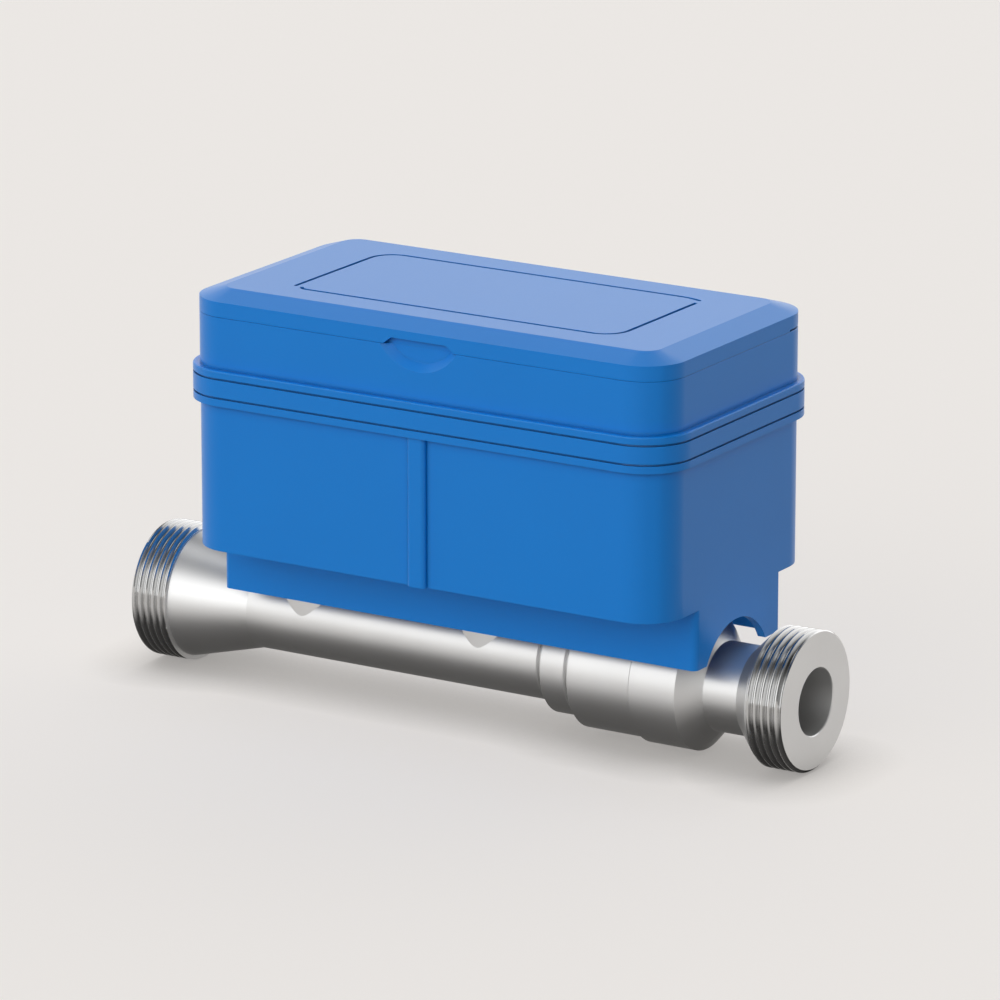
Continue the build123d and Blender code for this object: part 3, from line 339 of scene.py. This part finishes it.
finishes = {
    "steel": turned(
        "turned_steel", (0.71, 0.71, 0.705), (0.74, 0.74, 0.735), 0.40, along=14000.0, strength=0.03
    ),
    # Thread steel: smoother than the turned steel, and darker, the darker colour being painted shade
    "thread": turned(
        "thread_steel_painted_shade", (0.60, 0.60, 0.595), (0.64, 0.64, 0.635), 0.12, along=14000.0, strength=0.02
    ),
    "bore": turned(
        "bored_steel", (0.60, 0.60, 0.595), (0.64, 0.64, 0.635), 0.62, strength=0.05
    ),
    "blue": moulded(
        "housing_blue", (0.001, 0.246, 0.800), (0.001, 0.252, 0.815), 0.33, grain=2600.0, strength=0.04
    ),
    "rubber": moulded("seal_rubber", (0.010, 0.010, 0.010), (0.018, 0.018, 0.018), 0.62),
    "white": moulded("seat_plastic", (0.78, 0.76, 0.70), (0.84, 0.82, 0.77), 0.40),
    "black": moulded("black_plastic", (0.012, 0.012, 0.014), (0.020, 0.020, 0.022), 0.45),
    "brass": turned("turned_brass", (0.62, 0.42, 0.16), (0.72, 0.52, 0.23), 0.28),
    "chrome": plated("polished_ball", (0.74, 0.74, 0.75), (0.80, 0.80, 0.81), 0.10),
    "zinc": plated("zinc_plate", (0.50, 0.51, 0.53), (0.60, 0.61, 0.62), 0.33),
    "board": moulded("board_lacquer", (0.008, 0.095, 0.035), (0.012, 0.13, 0.05), 0.28),
    "clear": clear_glass("window_plastic", (0.93, 0.95, 0.96), 0.04),
    "screen": moulded("display_glass", (0.20, 0.23, 0.18), (0.24, 0.27, 0.21), 0.18),
    "cell": moulded("cell_sleeve", (0.32, 0.02, 0.018), (0.40, 0.03, 0.025), 0.35),
}


def paint_nook_shade(tree, colour, reach, depth):
    """Painted shade: colour darkened by ambient occlusion in narrow gaps, inner corners and at
    contacts.
    """
    nook = tree.nodes.new("ShaderNodeAmbientOcclusion")
    nook.samples = NOOK_SAMPLES
    nook.inputs["Distance"].default_value = reach * MM
    share = tree.nodes.new("ShaderNodeMapRange")
    share.inputs["From Min"].default_value = NOOK_CLOSED
    share.inputs["To Min"].default_value = 1.0 - depth
    tint = tree.nodes.new("ShaderNodeMix")
    tint.data_type, tint.blend_type = "RGBA", "MULTIPLY"
    tint.inputs["Factor"].default_value = 1.0
    tree.links.new(nook.outputs["AO"], share.inputs["Value"])
    tree.links.new(colour, tint.inputs["A"])
    tree.links.new(share.outputs["Result"], tint.inputs["B"])
    return tint.outputs["Result"]


def paint_crevice_shade(material, reach, depth):
    """Painted shade: the material's own colour darkened by ambient occlusion in its nooks."""
    tree = material.node_tree
    colour = tree.nodes["Principled BSDF"].inputs["Base Color"]
    tree.links.new(paint_nook_shade(tree, colour.links[0].from_socket, reach, depth), colour)


blue_shader = finishes["blue"].node_tree.nodes["Principled BSDF"]
blue_shader.inputs["Specular IOR Level"].default_value = BLUE_SPECULAR
# Painted shade on the housing: blue darkened in its seams, grooves, notch and inner corners
paint_crevice_shade(finishes["blue"], SEAM_SHADE_REACH, SEAM_SHADE_DEPTH)
# Painted shade on the threads: colour darkened in the thread roots
paint_crevice_shade(finishes["thread"], THREAD_SHADE_REACH, THREAD_ROOT_SHADE_DEPTH)


def dress(piece, finish):
    piece.data.materials.clear()
    piece.data.materials.append(finishes[finish])


for entry in frame["record"]["subparts"]:
    dress(nodes[entry["node"]], entry["material_slot"])


# Modelling helpers


def deselect_all():
    bpy.ops.object.select_all(action="DESELECT")


def work_on(piece):
    deselect_all()
    bpy.context.view_layer.objects.active = piece
    piece.select_set(True)


def apply_modifier(piece, modifier):
    work_on(piece)
    bpy.ops.object.modifier_apply(modifier=modifier.name)


def finish_piece(piece, angle, weighted):
    """Object at the origin, unturned, smooth with crisp edges."""
    work_on(piece)
    bpy.ops.object.transform_apply(location=True, rotation=True, scale=True)
    bpy.ops.object.shade_smooth_by_angle(angle=math.radians(angle))
    if weighted:
        flat = piece.modifiers.new("flat_faces_stay_flat", "WEIGHTED_NORMAL")
        flat.mode, flat.weight, flat.keep_sharp = "FACE_AREA", 100, True
        apply_modifier(piece, flat)


def lathe(name, profile):
    """Closed ring turned about the pipe axis through (x, radius) corners, extruded ring by ring."""
    deselect_all()
    start_x, start_radius = profile[0]
    bpy.ops.mesh.primitive_circle_add(
        vertices=PIPE_SEGMENTS,
        radius=start_radius * MM,
        location=(start_x * MM, 0, 0),
        rotation=(0, math.pi / 2, 0),
    )
    piece = bpy.context.active_object
    piece.name = name
    bpy.ops.object.transform_apply(location=True, rotation=True, scale=True)
    bpy.ops.object.mode_set(mode="EDIT")
    bpy.ops.mesh.select_all(action="SELECT")
    last_x, last_radius = profile[0]
    for x, radius in profile[1:] + profile[:1]:
        bpy.ops.mesh.extrude_region_move(TRANSFORM_OT_translate={"value": ((x - last_x) * MM, 0, 0)})
        share = radius / last_radius
        if radius != last_radius:
            bpy.ops.transform.resize(value=(1, share, share), center_override=(x * MM, 0, 0))
        last_x, last_radius = x, radius
    bpy.ops.mesh.select_all(action="SELECT")
    bpy.ops.mesh.remove_doubles(threshold=LATHE_MERGE)
    bpy.ops.mesh.normals_make_consistent(inside=False)
    bpy.ops.object.mode_set(mode="OBJECT")
    return piece


def soften(piece, width):
    """Small round on every edge sharper than ROUND_ANGLE."""
    bevel = piece.modifiers.new("edge_round", "BEVEL")
    bevel.width, bevel.segments = width * MM, 2
    bevel.limit_method, bevel.angle_limit = "ANGLE", math.radians(ROUND_ANGLE)
    apply_modifier(piece, bevel)


def combine(piece, other, operation):
    boolean = piece.modifiers.new("join", "BOOLEAN")
    boolean.operation, boolean.solver, boolean.object = operation, "EXACT", other
    apply_modifier(piece, boolean)
    bpy.data.objects.remove(other, do_unlink=True)


def post(x, low, high, radius, sides=BOSS_SEGMENTS):
    """Upright round post on the pipe's middle line."""
    deselect_all()
    bpy.ops.mesh.primitive_cylinder_add(
        vertices=sides,
        radius=radius * MM,
        depth=(high - low) * MM,
        location=(x * MM, 0, (low + high) / 2 * MM),
    )
    piece = bpy.context.active_object
    bpy.ops.object.transform_apply(location=True, rotation=True, scale=True)
    return piece


def thread_cutter(start_x):
    """Coil of a rounded V that cuts a pipe thread, its tip at the root radius."""
    deselect_all()
    height = THREAD_DEPTH + THREAD_OVERSHOOT
    half_width = THREAD_PITCH * THREAD_HALF_SHARE * height / THREAD_DEPTH
    triangle_height = 1.5
    bpy.ops.mesh.primitive_circle_add(vertices=3, radius=1.0, rotation=(-math.pi / 2, 0, 0))
    piece = bpy.context.active_object
    piece.name = "thread_cutter"
    bpy.ops.object.mode_set(mode="EDIT")
    bpy.ops.mesh.select_all(action="SELECT")
    bpy.ops.mesh.subdivide(number_cuts=THREAD_CUTS)
    bpy.ops.mesh.vertices_smooth(factor=THREAD_ROUND)
    bpy.ops.object.mode_set(mode="OBJECT")
    piece.scale = (half_width / math.cos(math.pi / 6) * MM, height / triangle_height * MM, 1.0)
    root = THREAD_CREST - THREAD_DEPTH
    piece.location = (start_x * MM, 0, (root + height / triangle_height) * MM)
    bpy.ops.object.transform_apply(location=True, rotation=True, scale=True)
    coil = piece.modifiers.new("coil", "SCREW")
    coil.axis = "X"
    coil.angle = math.radians(360 * THREAD_TURNS)
    coil.screw_offset = THREAD_PITCH * THREAD_TURNS * MM
    coil.steps = coil.render_steps = int(THREAD_STEPS * THREAD_TURNS)
    apply_modifier(piece, coil)
    bpy.ops.object.mode_set(mode="EDIT")
    bpy.ops.mesh.select_all(action="SELECT")
    bpy.ops.mesh.remove_doubles(threshold=COIL_MERGE)
    bpy.ops.mesh.select_all(action="DESELECT")
    bpy.ops.mesh.select_non_manifold()
    bpy.ops.mesh.edge_face_add()
    bpy.ops.mesh.select_all(action="SELECT")
    bpy.ops.mesh.normals_make_consistent(inside=False)
    bpy.ops.object.mode_set(mode="OBJECT")
    return piece


def merged_copy(node, name):
    """Copy of a CAD piece with its doubles merged."""
    source = nodes[node]
    piece = source.copy()
    piece.data = source.data.copy()
    piece.name = name
    bpy.context.scene.collection.objects.link(piece)
    work_on(piece)
    bpy.ops.object.mode_set(mode="EDIT")
    bpy.ops.mesh.select_all(action="SELECT")
    bpy.ops.mesh.remove_doubles(threshold=CAD_MERGE)
    bpy.ops.object.mode_set(mode="OBJECT")
    return piece


def rounded_copy(node, name, width):
    """Merged copy with its flat faces joined and its edges rounded."""
    piece = merged_copy(node, name)
    work_on(piece)
    bpy.ops.object.mode_set(mode="EDIT")
    bpy.ops.mesh.select_all(action="SELECT")
    bpy.ops.mesh.dissolve_limited(angle_limit=math.radians(FLAT_ANGLE))
    bpy.ops.object.mode_set(mode="OBJECT")
    soften(piece, width)
    return piece


def put_in(piece, node, body, finish, angle=30.0, weighted=True):
    """Hand a finished piece over in place of its CAD node."""
    finish_piece(piece, angle, weighted)
    dress(piece, finish)
    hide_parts(node)
    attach(piece, body)


def measuring_pipe():
    """Inlet thread, cone and tube with two towers, bored through."""
    tower_rings = [(x + side * TOWER_RING_REACH, TUBE_RADIUS) for x in TOWERS for side in (-1, 1)]
    piece = lathe(
        "measuring_pipe",
        [
            (0.0, THREAD_CREST - THREAD_BREAK),
            (THREAD_BREAK, THREAD_CREST),
            (INLET_THREAD_END, THREAD_CREST),
            (INLET_THREAD_END, CONE_MOUTH),
            (CONE_END, TUBE_RADIUS),
            *tower_rings,
            (TUBE_END - TUBE_BREAK, TUBE_RADIUS),
            (TUBE_END, TUBE_RADIUS - TUBE_BREAK),
            (TUBE_END, SPIGOT_RADIUS),
            (SPIGOT_END, SPIGOT_RADIUS),
            (SPIGOT_END, BORE_RADIUS),
            (BORE_BREAK, BORE_RADIUS),
            (0.0, BORE_RADIUS + BORE_BREAK),
        ],
    )
    for x in TOWERS:
        combine(piece, post(x, TOWER_FOOT, POST_TOP, TOWER_RADIUS, PIPE_SEGMENTS), "UNION")
    bore_core = lathe(
        "bore_core",
        [
            (CORE_START, BORE_RADIUS),
            (CORE_END, BORE_RADIUS),
            (CORE_END, CORE_HOLE),
            (CORE_START, CORE_HOLE),
        ],
    )
    combine(piece, bore_core, "DIFFERENCE")
    combine(piece, thread_cutter(INLET_COIL_START), "DIFFERENCE")
    return piece


def outlet_fitting():
    """Barrel round the ball, cone, neck and outlet thread, bored through."""
    seat_end = SEAT_START + SEAT_LENGTH
    piece = lathe(
        "outlet_fitting",
        [
            (BODY_START, BODY_SPIGOT_RADIUS),
            (BARREL_START - BARREL_GAP, BODY_SPIGOT_RADIUS),
            (BARREL_START - BARREL_GAP, BARREL_GAP_RADIUS),
            (BARREL_START, BARREL_GAP_RADIUS),
            (BARREL_START, BARREL_RADIUS),
            (BARREL_END, BARREL_RADIUS),
            (NECK_START, NECK_RADIUS),
            (NECK_END, NECK_RADIUS),
            (OUTLET_THREAD_START, THREAD_CREST),
            (LAYING_LENGTH - THREAD_BREAK, THREAD_CREST),
            (LAYING_LENGTH, THREAD_CREST - THREAD_BREAK),
            (LAYING_LENGTH, BORE_RADIUS + BORE_BREAK),
            (LAYING_LENGTH - BORE_BREAK, BORE_RADIUS),
            (seat_end, BORE_RADIUS),
            (seat_end, SEAT_RADIUS),
            (SEAT_START, SEAT_RADIUS),
            (SEAT_START, CHAMBER_RADIUS),
            (BODY_START, CHAMBER_RADIUS),
        ],
    )
    combine(piece, post(STEM_PLACE, STEM_BOSS_FOOT, POST_TOP, STEM_BOSS_RADIUS), "UNION")
    stem_bore = post(STEM_PLACE, STEM_BORE_LOW, STEM_BORE_HIGH, STEM_BORE_RADIUS, STEM_BORE_SEGMENTS)
    combine(piece, stem_bore, "DIFFERENCE")
    combine(piece, thread_cutter(OUTLET_COIL_START), "DIFFERENCE")
    return piece


def soften_thread(piece):
    """Shade crest, flanks and root of a thread as one rounded surface."""
    on_thread = {}
    for face in piece.data.polygons:
        for key in face.edge_keys:
            on_thread[key] = on_thread.get(key, True) and face.material_index == THREAD_PLACE
    for edge in piece.data.edges:
        if on_thread.get(edge.key, False):
            edge.use_edge_sharp = False


def dress_pipe(piece):
    """Smoother steel on the thread, darker in colour as painted shade, and duller steel in the bore.
    """
    for finish in ("thread", "bore"):
        piece.data.materials.append(finishes[finish])
    thread_root = THREAD_CREST - THREAD_DEPTH
    for face in piece.data.polygons:
        x, radius = face.center.x / MM, math.hypot(face.center.y, face.center.z) / MM
        on_thread = x < INLET_THREAD_END or x > OUTLET_THREAD_FACES
        tilt = abs(face.normal.x)
        if radius < BORE_RADIUS + BORE_MARGIN and tilt < BORE_TILT:
            face.material_index = BORE_PLACE
        elif on_thread and radius > thread_root - THREAD_MARGIN and tilt < END_FACE_TILT:
            face.material_index = THREAD_PLACE
    soften_thread(piece)


for node, pipe in (("flow_tube", measuring_pipe()), ("outlet_body", outlet_fitting())):
    put_in(pipe, node, "meter", "steel", PIPE_SMOOTH_ANGLE, False)
    dress_pipe(pipe)
for node, name, body, width in MOULDINGS:
    put_in(rounded_copy(node, name, width), node, body, "blue")


def floor_plaster():
    """Pale matt floor, half self-lit for soft shadows.

    Metal mirrors it dark where it looks steeply down, and it gives little light back to the part. Near
    the part its colour carries painted contact shadow.
    """
    material, shader = new_material("floor_plaster", FLOOR_ROUGHNESS)
    shader.inputs["Specular IOR Level"].default_value = FLOOR_SPECULAR
    shader.inputs["Emission Strength"].default_value = FLOOR_GLOW
    tree = material.node_tree
    link = tree.links.new
    path = tree.nodes.new("ShaderNodeLightPath")
    slope = tree.nodes.new("ShaderNodeLayerWeight")
    steep = tree.nodes.new("ShaderNodeMapRange")
    steep.inputs["From Min"].default_value = MIRROR_STEEP
    steep.inputs["From Max"].default_value = MIRROR_SHALLOW
    steep.inputs["To Min"].default_value = FLOOR_MIRROR_LOSS
    steep.inputs["To Max"].default_value = 0.0
    link(slope.outputs["Facing"], steep.inputs["Value"])
    mirrored = joined(tree, "MULTIPLY", steep.outputs["Result"], path.outputs["Is Glossy Ray"])
    bounced = scaled(tree, path.outputs["Is Diffuse Ray"], FLOOR_BOUNCE_LOSS, 0.0)
    mix = tree.nodes.new("ShaderNodeMix")
    mix.data_type = "RGBA"
    mix.inputs["A"].default_value = (*FLOOR_COLOUR, 1.0)
    mix.inputs["B"].default_value = (0.0, 0.0, 0.0, 1.0)
    link(joined(tree, "ADD", mirrored, bounced), mix.inputs["Factor"])
    # Painted contact shadow: floor colour and glow darkened by ambient occlusion near the part
    shaded = paint_nook_shade(tree, mix.outputs["Result"], CONTACT_SHADOW_REACH, CONTACT_SHADOW_DEPTH)
    link(shaded, shader.inputs["Base Color"])
    link(shaded, shader.inputs["Emission Color"])
    return material


def make_floor():
    deselect_all()
    place = Vector((*FLOOR_CENTRE, -THREAD_CREST)) * MM
    bpy.ops.mesh.primitive_plane_add(size=FLOOR_SIZE * MM, location=place)
    floor = bpy.context.active_object
    floor.name = "studio_floor"
    bpy.ops.object.transform_apply(location=True, rotation=True, scale=True)
    floor.data.materials.append(floor_plaster())


def world_lobe(tree, across, towards, sharpness):
    """1 towards a compass direction, counted from the camera side to the right, falling to 0."""
    turn = math.radians(towards)
    dot = tree.nodes.new("ShaderNodeVectorMath")
    dot.operation = "DOT_PRODUCT"
    dot.inputs[1].default_value = (math.sin(turn), -math.cos(turn), 0.0)
    clamp = tree.nodes.new("ShaderNodeClamp")
    power = tree.nodes.new("ShaderNodeMath")
    power.operation = "POWER"
    power.inputs[1].default_value = sharpness
    tree.links.new(across, dot.inputs[0])
    tree.links.new(dot.outputs["Value"], clamp.inputs["Value"])
    tree.links.new(clamp.outputs["Result"], power.inputs[0])
    return power.outputs["Value"]


def scaled(tree, value, factor, added):
    """value * factor + added, where added is a number or another node's value."""
    node = tree.nodes.new("ShaderNodeMath")
    node.operation = "MULTIPLY_ADD"
    node.inputs[1].default_value = factor
    tree.links.new(value, node.inputs[0])
    if isinstance(added, float):
        node.inputs[2].default_value = added
    else:
        tree.links.new(added, node.inputs[2])
    return node.outputs["Value"]


def fade(tree, value, start, end, first, last):
    """Smooth change from first to last as value goes from start to end."""
    node = tree.nodes.new("ShaderNodeMapRange")
    node.interpolation_type = "SMOOTHSTEP"
    for name, number in (("From Min", start), ("From Max", end), ("To Min", first), ("To Max", last)):
        node.inputs[name].default_value = number
    tree.links.new(value, node.inputs["Value"])
    return node.outputs["Result"]


def joined(tree, operation, first, second):
    node = tree.nodes.new("ShaderNodeMath")
    node.operation = operation
    tree.links.new(first, node.inputs[0])
    tree.links.new(second, node.inputs[1])
    return node.outputs["Value"]


def light_studio():
    """Soft tent of light: bright in front and behind, dim on both sides, one lamp overhead."""
    world = bpy.data.worlds.new("studio")
    bpy.context.scene.world = world
    world.use_nodes = True
    tree = world.node_tree
    place = tree.nodes.new("ShaderNodeTexCoord")
    flatten = tree.nodes.new("ShaderNodeVectorMath")
    flatten.operation = "MULTIPLY"
    flatten.inputs[1].default_value = (1.0, 1.0, 0.0)
    across = tree.nodes.new("ShaderNodeVectorMath")
    across.operation = "NORMALIZE"
    parts = tree.nodes.new("ShaderNodeSeparateXYZ")
    tree.links.new(place.outputs["Generated"], flatten.inputs[0])
    tree.links.new(flatten.outputs["Vector"], across.inputs[0])
    tree.links.new(place.outputs["Generated"], parts.inputs["Vector"])
    wall = WALL_LIGHT
    for towards, gain, sharpness in (
        (FRONT_TURN, FRONT_GAIN, FRONT_SHARPNESS),
        (RIGHT_TURN, -RIGHT_LOSS, RIGHT_SHARPNESS),
        (LEFT_TURN, -LEFT_LOSS, LEFT_SHARPNESS),
    ):
        lobe = world_lobe(tree, across.outputs["Vector"], towards, sharpness)
        wall = scaled(tree, lobe, gain, wall)
    roof = fade(tree, parts.outputs["Z"], ROOF_START, ROOF_END, 1.0, ROOF_SHARE)
    zenith = fade(tree, parts.outputs["Z"], ZENITH_START, 1.0, 0.0, ZENITH_LIGHT)
    light = joined(tree, "ADD", joined(tree, "MULTIPLY", wall, roof), zenith)
    tree.links.new(light, tree.nodes["Background"].inputs["Strength"])
    tree.nodes["Background"].inputs["Color"].default_value = (1.0, 1.0, 1.0, 1.0)
    bpy.context.scene.view_settings.view_transform = "Standard"


place_camera()
light_studio()
make_floor()

bpy.context.view_layer.update()
